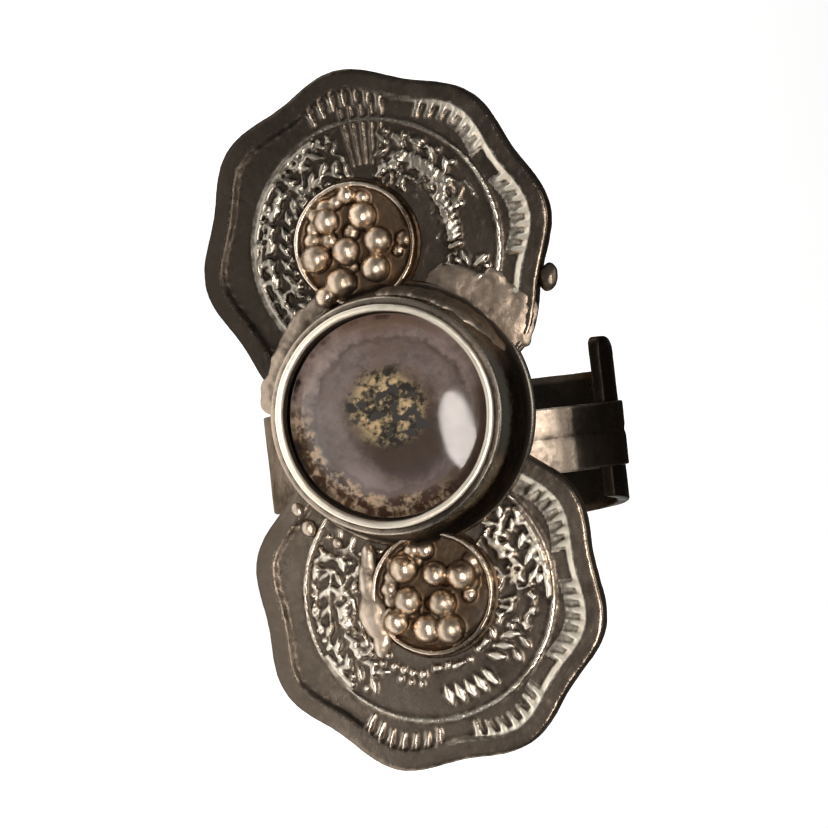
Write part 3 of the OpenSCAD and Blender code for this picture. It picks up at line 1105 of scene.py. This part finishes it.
def collet_piece(material):
    """The tall collet: flange, tapered wall, collar and thin rim, turned in one."""
    rim, top = measure("rim_radius"), measure("collet_height")
    collar = top - 1
    collet = lathe(
        [
            (0.5, -0.35), (FLANGE_RADIUS - 0.1, -0.35), (FLANGE_RADIUS, -0.2), (FLANGE_RADIUS, 0.2),
            (FLANGE_RADIUS - 0.1, 0.34), (8.2, 0.42), (8.06, 0.62), (7.98, 0.9), (7.72, 2.4),
            (7.36, collar - 0.22), (7.31, collar - 0.1), (7.31, collar), (7.43, collar + 0.06),
            (7.48, collar + 0.2), (7.44, collar + 0.36), (7.3, collar + 0.46), (7.14, collar + 0.5),
            (rim + 0.02, collar + 0.56), (rim, collar + 0.7), (rim, top - 0.12), (rim - 0.05, top - 0.03),
            (rim - 0.16, top), (rim - 0.3, top - 0.02), (rim - 0.4, top - 0.1), (rim - 0.45, top - 0.3),
            (rim - 0.5, collar), (7.6, 0.5), (0.5, 0.5),
        ],
        192,
    )

    def by_hand(co):
        angle = math.atan2(co.y, co.x)
        sway = 0.02 * math.sin(3 * angle + 0.4) + 0.012 * math.sin(7 * angle)
        sway += 0.008 * math.sin(17 * angle)
        lift = 0.03 * math.sin(2 * angle + 1) + 0.015 * math.sin(9 * angle + 2)
        share = max(0.0, min(1.0, (co.z - collar) / (top - collar)))
        reach = max(1e-6, math.hypot(co.x, co.y))
        flat = Vector((co.x / reach, co.y / reach, 0))
        return co + flat * sway * share + Vector((0, 0, min(0.0, lift) * share))

    reshape(collet, by_hand)
    shift(collet, *COLLET_SPOT)
    note_hollows(collet, 8)
    hand_over(collet, "collet", material, smooth=50)


def foot_runs():
    """The solder along the collet's foot, what climbed its wall, and the drops near it, as runs."""
    chance = random.Random(21)
    middle = Vector((*COLLET_AT, 0))
    runs = []
    start, end, step, radius = EDGE_RUNS
    for angle in range(start, end, step):
        spot = middle + direction(angle) * (radius + chance.uniform(-0.12, 0.12))
        height = FIELD_Z + chance.uniform(0.0, 0.06)
        runs.append((spot.x, spot.y, height, 0.75, chance.uniform(0.75, 1.05), 0.42, angle))
    start, end, step, radius = WALL_RUNS
    for angle in range(start, end, step):
        spot = middle + direction(angle) * radius
        share = smooth_step(angle, 10, 50)
        climb = FIELD_Z + 0.3 + 1.1 * share + chance.uniform(-0.15, 0.15)
        runs.append((spot.x, spot.y, climb, 0.5 + 0.14 * share, 1.0, 0.9 + 1.2 * share, angle))
    runs += [(x, y, z, size, size * 1.15, size * 0.8, 20) for x, y, z, size in SPATTER]
    return runs


def solder_piece(name, spots, material):
    """Runs of solder: flattened drops melted into one another."""
    drop = new("ico_sphere", subdivisions=4, radius=1.0)
    runs = []
    for x, y, z, long, wide, high, turn in spots:
        run = copy_of(drop, Matrix.Identity(4))
        reshape(run, lambda co: Vector((co.x * long, co.y * wide, co.z * high)))
        run.matrix_world = place(x, y, z, turn)
        runs.append(run)
    discard(drop)
    solder = join(runs)
    solder.name = name
    fuse(solder, 0.09, 3, 0.7)
    dent(solder, 0.9, 0.16)
    note_hollows(solder, 20)
    hand_over(solder, name, material)


def dome_height(radius):
    """The height of the stone's dome over the coins' field, at a radius."""
    dome = measure("dome_height")
    ball = (STONE_RADIUS**2 + dome**2) / (2 * dome)
    return GIRDLE_Z + dome - ball + math.sqrt(ball**2 - radius**2)


def stone_piece(material):
    """The glass: a straight edge and a low dome."""
    profile = [(0.5, STONE_FOOT), (STONE_RADIUS - 0.15, STONE_FOOT), (STONE_RADIUS, STONE_FOOT + 0.15)]
    profile += [(STONE_RADIUS, GIRDLE_Z - 0.25), (STONE_RADIUS - 0.03, GIRDLE_Z - 0.08)]
    radius = STONE_RADIUS - 0.12
    while radius > 0.2:
        profile.append((radius, dome_height(radius) - 0.02))
        radius -= 0.2
    stone = lathe(profile, 160)
    shift(stone, *COLLET_SPOT)
    hand_over(stone, "cabochon", material, "stone", 60)


def foil_pieces(foil_material, filler_material):
    """The filler in the collet and the crumpled foil on it."""
    filler = lathe(
        [
            (0.5, 0.62), (7.3, 0.62), (7.42, 0.72), (FOIL_RADIUS + 0.1, FOIL_Z - 0.08),
            (FOIL_RADIUS - 0.05, FOIL_Z), (0.5, FOIL_Z),
        ],
        96,
    )
    shift(filler, *COLLET_SPOT)
    hand_over(filler, "collet_filler", filler_material, "backing", 50)
    foil = new("grid", x_subdivisions=110, y_subdivisions=110, size=2.0)

    def round_out(co):
        span = max(abs(co.x), abs(co.y))
        reach = math.hypot(co.x, co.y)
        scale = FOIL_RADIUS * span / reach if reach > 1e-9 else 0.0
        return Vector((co.x * scale, co.y * scale, FOIL_Z + FOIL_DISH * span**2))

    reshape(foil, round_out)
    foil.name = "collet_foil"
    modify(foil, "SOLIDIFY", thickness=0.06, offset=-1)
    dent(foil, 0.7, 0.12)
    shift(foil, *COLLET_SPOT)
    hand_over(foil, "collet_foil", foil_material, "backing", 30)


def area_light(name, aim, azimuth, elevation, distance, size, power, colour):
    """A soft box that looks at a point, placed by an azimuth and an elevation."""
    turn, rise = math.radians(azimuth), math.radians(elevation)
    away = Vector((math.sin(turn) * math.cos(rise), -math.cos(turn) * math.cos(rise), math.sin(rise)))
    bpy.ops.object.light_add(type="AREA", location=aim + away * distance)
    lamp = bpy.context.object
    lamp.name = name
    lamp.rotation_euler = away.to_track_quat("Z", "Y").to_euler()
    lamp.data.shape = "ELLIPSE"
    lamp.data.size, lamp.data.size_y = size
    lamp.data.energy = power
    lamp.data.color = colour


def pale_world(brightness):
    """White behind everything, and a dimmer sky to light the ring with, given by height."""
    paint = Paint("pale surroundings", "worlds")
    bpy.context.scene.world = paint.owner
    height = paint.part_of(paint.add("ShaderNodeTexCoord", output="Generated"), 2)
    stops = [(position, (glow,) * 3) for position, glow in brightness]
    sky = paint.add("ShaderNodeValToRGB", {"stops": stops}, {"Fac": height})
    light = paint.add("ShaderNodeBackground", inputs={"Color": sky})
    seen = paint.add("ShaderNodeBackground", inputs={"Color": (1, 1, 1, 1)})
    by_camera = paint.add("ShaderNodeLightPath", output="Is Camera Ray")
    mix = paint.add("ShaderNodeMixShader", inputs={0: by_camera, 1: light, 2: seen})
    paint.add("ShaderNodeOutputWorld", inputs={"Surface": mix})


def look_at_ring():
    """The camera, turned and leaned to the photograph's view of the ring."""
    turn, lean = math.radians(VIEW_TURN), math.radians(VIEW_LEAN)
    back = Vector((math.sin(turn), 0, math.cos(turn)))
    level = Vector((math.cos(turn), 0, -math.sin(turn)))
    up = Vector((0, 1, 0))
    right_side = level * math.cos(lean) - up * math.sin(lean)
    top_side = level * math.sin(lean) + up * math.cos(lean)
    middle = (Vector(UPPER_COIN["at"]) + Vector(LOWER_COIN["at"])) / 2
    aim = Vector((middle.x, middle.y, FIELD_Z))
    aim += right_side * VIEW_SHIFT[0] + top_side * VIEW_SHIFT[1]
    turned = LAID.to_3x3().normalized()
    bpy.ops.object.camera_add(location=LAID @ (aim + back * VIEW_DISTANCE))
    camera = bpy.context.object
    camera.name = "view of the ring"
    columns = [turned @ axis for axis in (right_side, top_side, back)]
    camera.rotation_euler = Matrix(columns).transposed().to_euler()
    camera.data.lens = VIEW_LENS
    camera.data.clip_start = 0.01
    camera.data.clip_end = 20
    bpy.context.scene.camera = camera


def length(name, description, default, low, high):
    return bpy.props.FloatProperty(
        name=name, description=description, default=default * MM, min=low * MM, max=high * MM,
        unit="LENGTH", subtype="DISTANCE", precision=5,
    )


def colour(name, description, default):
    return bpy.props.FloatVectorProperty(
        name=name, description=description, default=default, size=3, min=0, max=1, subtype="COLOR"
    )


class CoinRingSizes(bpy.types.PropertyGroup):
    """Sizes of the ring's pieces."""

    bore_radius: length("Bore radius", "Radius of the hole for the finger", 10.9, 9, 12)
    sheet_thickness: length("Sheet thickness", "Thickness of the band's wide sheet", 0.8, 0.5, 1.2)
    strip_width: length("Strip width", "Width of the strip that laps over the sheet", 4.2, 3, 6)
    coin_width: length("Coin width", "Width of a coin across its lobes", 23, 20, 25)
    coin_thickness: length("Coin thickness", "Thickness of a coin at its rim", 1.45, 1, 2)
    notch_depth: length("Notch depth", "Depth of the dips between a coin's lobes", 0.68, 0, 1)
    collet_height: length("Collet height", "Height of the collet over the coins", 5.7, 4, 7)
    rim_radius: length("Rim radius", "Radius of the rim round the stone", 7, 6.9, 7.3)
    dome_height: length("Dome height", "Height of the stone's dome", 1.6, 0.5, 2.2)


class CoinRingFinish(bpy.types.PropertyGroup):
    """Colours of the ring's pieces."""

    # Silver is also the colour of the painted highlights.
    silver: colour("Silver", "Bare metal on what stands proud", (0.78, 0.67, 0.56))
    worn: colour("Worn silver", "Metal with a light tarnish", (0.185, 0.148, 0.115))
    tarnish: colour("Tarnish", "Metal in the hollows", (0.03, 0.023, 0.018))
    gold: colour("Gold foil", "Foil at the middle of the stone", (0.95, 0.72, 0.38))
    grey: colour("Grey foil", "Foil round the middle", (0.41, 0.32, 0.275))
    pale: colour("Pale foil", "Foil at the edge", (0.55, 0.43, 0.37))
    # Brown also colours the painted shade on the foil.
    brown: colour("Brown foil", "Stained foil under the stone", (0.23, 0.14, 0.085))
    glass: colour("Glass", "Tint of the glass", (0.95, 0.93, 0.95))
    floor: colour("Floor", "The floor under the ring", (0.9, 0.9, 0.9))


class COINRING_OT_stage(bpy.types.Operator):
    """Set up the floor, the light and the camera"""

    bl_idname = "coin_ring.stage"
    bl_label = "Stage"
    bl_options = {"REGISTER", "UNDO"}

    def execute(self, context):
        finish = context.scene.coin_ring_finish
        context.scene.view_settings.view_transform = "Standard"
        floor = new("grid", x_subdivisions=20, y_subdivisions=20, size=8.0)
        floor.name = "floor"
        floor.data.materials.append(floor_finish(finish.floor, 1.0, 0.75))
        middle = Vector((0, -0.005, 0.012))
        area_light("top soft box", middle, 0, 66, 1.0, (0.7, 0.5), 2.2, (1, 0.97, 0.93))
        area_light("front soft box", middle, 14, 19, 0.4, (0.31, 0.125), 1.32, (1, 0.93, 0.87))
        flag = new("plane", size=8.0, location=(0, -4.0185, 0.0002))
        flag.name = "dark card"
        flag.data.materials.append(card_finish(0.8, 0.22))
        flag.visible_camera = flag.visible_shadow = False
        pale_world(((0.0, 0.22), (0.36, 0.12), (0.9, 0.25)))
        look_at_ring()
        return {"FINISHED"}


class COINRING_OT_band(bpy.types.Operator):
    """Bend the sheet and the strip that go round the finger"""

    bl_idname = "coin_ring.band"
    bl_label = "Band"
    bl_options = {"REGISTER", "UNDO"}

    def execute(self, context):
        finish = context.scene.coin_ring_finish
        # Black serves the sheet's hollows, and is the painted shade on the right of the sheet and at the
        # strip's end.
        black = toned(finish.tarnish, 0.2)
        sheet = metal(
            "sheet silver", finish.worn, toned(finish.worn, 1.2), black, 0.42, (0, -9.5, 2.0, black),
            rub_and_light=(0, -9, 0, 0.5, 0.1),
        )
        strip = metal(
            "strip silver", finish.silver, toned(finish.worn, 3.2), finish.tarnish, 0.38,
            (0, 9.6, 10.2, black), rub_and_light=(0, 8, 10, 0.5, 0.1),
        )
        band_sheet(sheet)
        band_strip(strip)
        return {"FINISHED"}


class COINRING_OT_coins(bpy.types.Operator):
    """Strike the upper and the lower coin"""

    bl_idname = "coin_ring.coins"
    bl_label = "Coins"
    bl_options = {"REGISTER", "UNDO"}

    def execute(self, context):
        finish = context.scene.coin_ring_finish
        nickel = toned(finish.silver, 1.36)
        # Each coin has painted shade on its left, and painted highlights along with its wear towards the
        # right.
        upper = metal(
            "upper coin nickel", nickel, toned(finish.worn, 0.62), finish.tarnish, 0.26,
            (0, 6.0, -9.0, toned(finish.worn, 0.15)), rub_and_light=(0, 3.8, 8.4, 0.28, 1.0),
        )
        lower = metal(
            "lower coin nickel", nickel, finish.worn, finish.tarnish, 0.27,
            (0, 2.0, -11.0, toned(finish.worn, 0.42)), rub_and_light=(0, -2.0, 4.0, 0.55, 1.0),
        )
        coin_piece("upper_coin", UPPER_COIN, upper)
        coin_piece("lower_coin", LOWER_COIN, lower)
        return {"FINISHED"}


class COINRING_OT_cups(bpy.types.Operator):
    """Make the cups of granules"""

    bl_idname = "coin_ring.cups"
    bl_label = "Granule cups"
    bl_options = {"REGISTER", "UNDO"}

    def execute(self, context):
        finish = context.scene.coin_ring_finish
        brown = toned(finish.worn, (2.7, 2.6, 2.4))
        # This colour gives dirty tarnish and painted shade in hollows and floors, and is the upper cup's
        # painted shade.
        dirt_and_shade = toned(finish.tarnish, (3.4, 2.9, 2.3))
        low_dirt_and_shade = (FIELD_Z + 0.3, FIELD_Z + 0.7)
        # Painted shade darkens the upper cup on its right and the lower one towards its lower right;
        # painted highlights favour the other side.
        upper = metal(
            "upper cup silver", finish.silver, brown, dirt_and_shade, 0.3, (0, 0.9, 2.6, dirt_and_shade), low_dirt_and_shade=low_dirt_and_shade,
            rub_and_light=(0, 0.6, 2.4, 0.8, 0.05),
        )
        lower = metal(
            "lower cup silver", finish.silver, brown, dirt_and_shade, 0.3, (-45, 9.4, 10.8, finish.worn),
            low_dirt_and_shade=low_dirt_and_shade, rub_and_light=(-45, 8.6, 10.4, 0.6, 0.1),
        )
        cup_piece("upper_cup", UPPER_COIN["at"], UPPER_CUP, UPPER_GRANULES, 11, upper)
        cup_piece("lower_cup", LOWER_COIN["at"], LOWER_CUP, LOWER_GRANULES, 12, lower)
        return {"FINISHED"}


class COINRING_OT_collet(bpy.types.Operator):
    """Turn the collet and run the solder at its foot"""

    bl_idname = "coin_ring.collet"
    bl_label = "Collet"
    bl_options = {"REGISTER", "UNDO"}

    def execute(self, context):
        finish = context.scene.coin_ring_finish
        # Painted shade darkens the collet's wall towards its lower right.
        wall = metal(
            "collet silver", toned(finish.silver, 1.36), toned(finish.worn, 1.5), finish.tarnish, 0.34,
            (-30, 1.5, 5.5, toned(finish.tarnish, 0.5)), (FIELD_Z + 5.25, FIELD_Z + 5.5),
            rub_and_light=(0, 0, 1, 0.2, 0.2),
        )
        collet_piece(wall)
        dull = metal(
            "dull solder", finish.silver, toned(finish.worn, 1.5), finish.tarnish, 0.42,
            rub_and_light=(0, 0, 1, 0.3, 0.3),
        )
        solder_piece("head_solder", (*HEAD_SOLDER, *foot_runs()), dull)
        bead = metal("bead silver", finish.worn, toned(finish.worn, 0.5), finish.tarnish, 0.4)
        solder_piece("edge_bead", EDGE_BEAD, bead)
        # The plate's solder is painted lighter than the other solder: it is polished, and in part a
        # painted highlight.
        bright = metal("bright solder", finish.silver, toned(finish.worn, 2.0), finish.worn, 0.42)
        solder_piece("cup_plate", PLATE, bright)
        return {"FINISHED"}


class COINRING_OT_stone(bpy.types.Operator):
    """Press the glass cabochon and lay the foil under it"""

    bl_idname = "coin_ring.stone"
    bl_label = "Stone and foil"
    bl_options = {"REGISTER", "UNDO"}

    def execute(self, context):
        finish = context.scene.coin_ring_finish
        foil = foil_finish(finish.gold, finish.grey, finish.pale, finish.brown)
        foil_pieces(foil, filler_finish((0.05, 0.04, 0.03)))
        stone_piece(glass_finish(finish.glass))
        return {"FINISHED"}


STEPS = (
    COINRING_OT_stage,
    COINRING_OT_band,
    COINRING_OT_coins,
    COINRING_OT_cups,
    COINRING_OT_collet,
    COINRING_OT_stone,
)


class COINRING_PT_panel(bpy.types.Panel):
    """Lists the steps that make the ring, and what can be changed"""

    bl_idname = "COINRING_PT_panel"
    bl_label = "Coin Ring"
    bl_space_type = "VIEW_3D"
    bl_region_type = "UI"
    bl_category = "Coin Ring"

    def draw(self, context):
        for step in STEPS:
            self.layout.operator(step.bl_idname)
        for group in (context.scene.coin_ring_sizes, context.scene.coin_ring_finish):
            for name in group.bl_rna.properties.keys():
                if name not in ("rna_type", "name"):
                    self.layout.prop(group, name)


CLASSES = (CoinRingSizes, CoinRingFinish, *STEPS, COINRING_PT_panel)


def register():
    for kind in CLASSES:
        bpy.utils.register_class(kind)
    bpy.types.Scene.coin_ring_sizes = bpy.props.PointerProperty(type=CoinRingSizes)
    bpy.types.Scene.coin_ring_finish = bpy.props.PointerProperty(type=CoinRingFinish)


def unregister():
    del bpy.types.Scene.coin_ring_sizes
    del bpy.types.Scene.coin_ring_finish
    for kind in reversed(CLASSES):
        bpy.utils.unregister_class(kind)


def main():
    register()
    bpy.ops.coin_ring.stage()
    bpy.ops.coin_ring.band()
    bpy.ops.coin_ring.coins()
    bpy.ops.coin_ring.cups()
    bpy.ops.coin_ring.collet()
    bpy.ops.coin_ring.stone()


if __name__ == "__main__":
    main()
